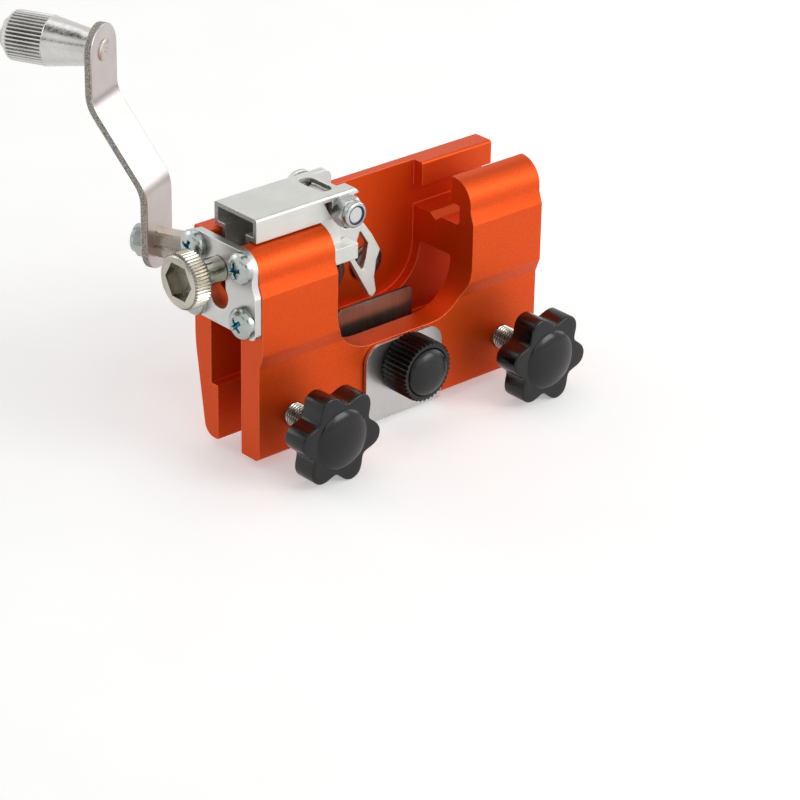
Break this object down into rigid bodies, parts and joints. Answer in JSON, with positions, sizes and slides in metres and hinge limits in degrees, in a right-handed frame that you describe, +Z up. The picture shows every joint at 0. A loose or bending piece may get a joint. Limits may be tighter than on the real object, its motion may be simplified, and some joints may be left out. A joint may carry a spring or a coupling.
{
  "type": "chainsaw chain sharpener",
  "caption": "Hand-cranked saw chain sharpener: clamp-on extruded body, angled burr spindle with crank, screw-set carriage and sprung chain stop.",
  "frame": {"origin": "middle of the guide bar slot's mouth, level with the foot of the body", "axes": "+X along the guide bar towards the open window end, -Y towards the clamp knobs, +Z up out of the slot"},
  "size_m": [0.1054, 0.123, 0.0885],
  "materials": {
    "orange_body": "satin anodised orange",
    "zinc": "bright zinc plate",
    "dark_steel": "ground steel",
    "stainless": "brushed",
    "black_plastic": "satin black",
    "nickel": "bright nickel plate",
    "aluminium": "matte silver",
    "blue_nylon": "dark blue insert",
    "spring_steel": "oiled spring wire",
    "burr_grit": "fine brown abrasive"
  },
  "bodies": {
    "frame_body": {"main_body": "orange_body", "end_plate": "zinc", "end_plate_screws": "zinc", "guide_bush_left": "dark_steel", "guide_bush_right": "dark_steel", "press_clip": "stainless"},
    "press_spindle": {"press_screw": "stainless"},
    "press_handle": {"press_knob": "black_plastic"},
    "clamp_spindle_left": {"clamp_stud_left": "zinc"},
    "clamp_handle_left": {"clamp_knob_left": "black_plastic"},
    "clamp_spindle_right": {"clamp_stud_right": "zinc"},
    "clamp_handle_right": {"clamp_knob_right": "black_plastic"},
    "adjuster": {"adjuster_screw": "nickel"},
    "carriage_group": {"carriage": "aluminium", "carriage_nut": "zinc", "pivot_bolt": "zinc", "pivot_nut": "zinc", "pivot_nut_ring": "blue_nylon", "stop_spring": "spring_steel"},
    "stop": {"chain_stop": "aluminium"},
    "feed_washers": {"thrust_washers": "zinc"},
    "crank": {"grinding_spindle": "nickel", "grinding_burr": "burr_grit", "crank_arm": "nickel", "crank_nut": "zinc", "crank_nut_ring": "blue_nylon", "grip_pin": "nickel"},
    "crank_grip": {"grip": "nickel"}
  },
  "joints": [
    {"name": "press_travel", "type": "slide", "parent": "frame_body", "child": "press_spindle", "axis": [0, 1, 0], "range_m": [-0.003, 0]},
    {"name": "press_turn", "type": "hinge", "parent": "press_spindle", "child": "press_handle", "pos_m": [0, -0.0148, 0.0138], "axis": [0, 1, 0], "range_deg": [-1350.1, 0]},
    {"name": "clamp_travel_left", "type": "slide", "parent": "frame_body", "child": "clamp_spindle_left", "axis": [0, 1, 0], "range_m": [-0.008, 0.004]},
    {"name": "clamp_turn_left", "type": "hinge", "parent": "clamp_spindle_left", "child": "clamp_handle_left", "pos_m": [-0.034, -0.0267, 0.0096], "axis": [0, 1, 0], "range_deg": [-2880.1, 1440.1]},
    {"name": "clamp_travel_right", "type": "slide", "parent": "frame_body", "child": "clamp_spindle_right", "axis": [0, 1, 0], "range_m": [-0.008, 0.004]},
    {"name": "clamp_turn_right", "type": "hinge", "parent": "clamp_spindle_right", "child": "clamp_handle_right", "pos_m": [0.034, -0.0267, 0.0096], "axis": [0, 1, 0], "range_deg": [-2880.1, 1440.1]},
    {"name": "adjuster_turn", "type": "hinge", "parent": "frame_body", "child": "adjuster", "pos_m": [-0.05, -0.001, 0.0472], "axis": [1, 0, 0], "range_deg": [-2160.1, 900.1]},
    {"name": "carriage_travel", "type": "slide", "parent": "frame_body", "child": "carriage_group", "axis": [1, 0, 0], "range_m": [-0.0025, 0.006]},
    {"name": "stop_swing", "type": "hinge", "parent": "carriage_group", "child": "stop", "pos_m": [-0.0154, -0.001, 0.0564], "axis": [0, 1, 0], "range_deg": [-60, 0], "stiffness_Nm_per_rad": 0.01, "springref_deg": 17.19},
    {"name": "spindle_feed", "type": "slide", "parent": "frame_body", "child": "feed_washers", "axis": [0.4226, -0.9063, 0], "range_m": [-0.016, 0]},
    {"name": "crank_turn", "type": "hinge", "parent": "feed_washers", "child": "crank", "pos_m": [-0.00635, 0.0075, 0.031], "axis": [0.4226, -0.9063, 0], "continuous": true},
    {"name": "grip_turn", "type": "hinge", "parent": "crank", "child": "crank_grip", "pos_m": [-0.00635, 0.0075, 0.0797], "axis": [0.4226, -0.9063, 0], "continuous": true}
  ],
  "couplings": [
    {"joint": "press_turn", "follows": "press_travel", "rad_per_m": 7854},
    {"joint": "clamp_turn_left", "follows": "clamp_travel_left", "rad_per_m": 6283.2},
    {"joint": "clamp_turn_right", "follows": "clamp_travel_right", "rad_per_m": 6283.2},
    {"joint": "adjuster_turn", "follows": "carriage_travel", "rad_per_m": -6283.2}
  ]
}
